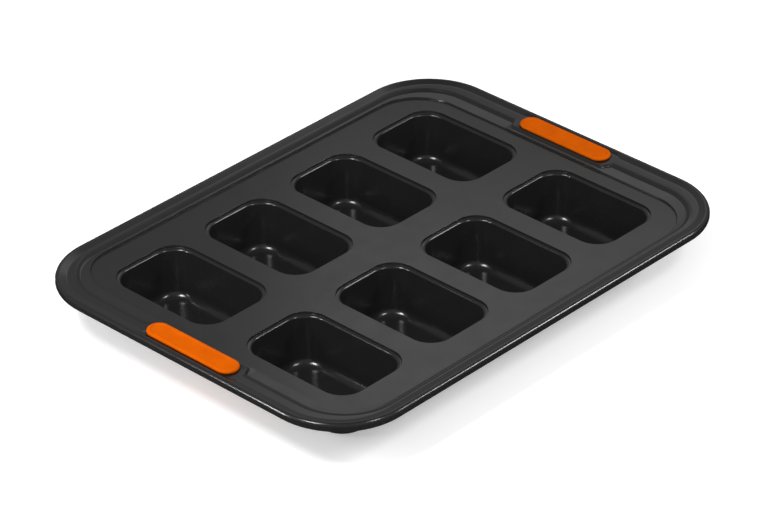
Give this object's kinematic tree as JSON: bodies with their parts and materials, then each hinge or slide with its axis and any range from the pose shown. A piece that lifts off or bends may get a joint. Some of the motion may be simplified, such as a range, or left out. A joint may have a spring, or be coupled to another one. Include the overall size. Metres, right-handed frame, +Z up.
{
  "type": "mini loaf cake pan",
  "caption": "Rectangular non-stick baking pan with deep loaf cups drawn in one steel sheet, a grooved border, a rolled edge and a silicone grip at each short end.",
  "frame": {"origin": "centre of the pan on the surface that the cups stand on", "axes": "+X along the pan from the left grip to the right grip, +Y across it, +Z up"},
  "size_m": [0.3988, 0.2948, 0.0439],
  "materials": {
    "nonstick_coat": "satin dark grey non-stick coat on steel sheet",
    "steel_wire": "drawn steel wire",
    "orange_silicone": "smooth satin silicone"
  },
  "bodies": {
    "root": {"pan_body": "nonstick_coat", "rim_wire": "steel_wire", "left_grip": "orange_silicone", "right_grip": "orange_silicone"}
  },
  "joints": []
}
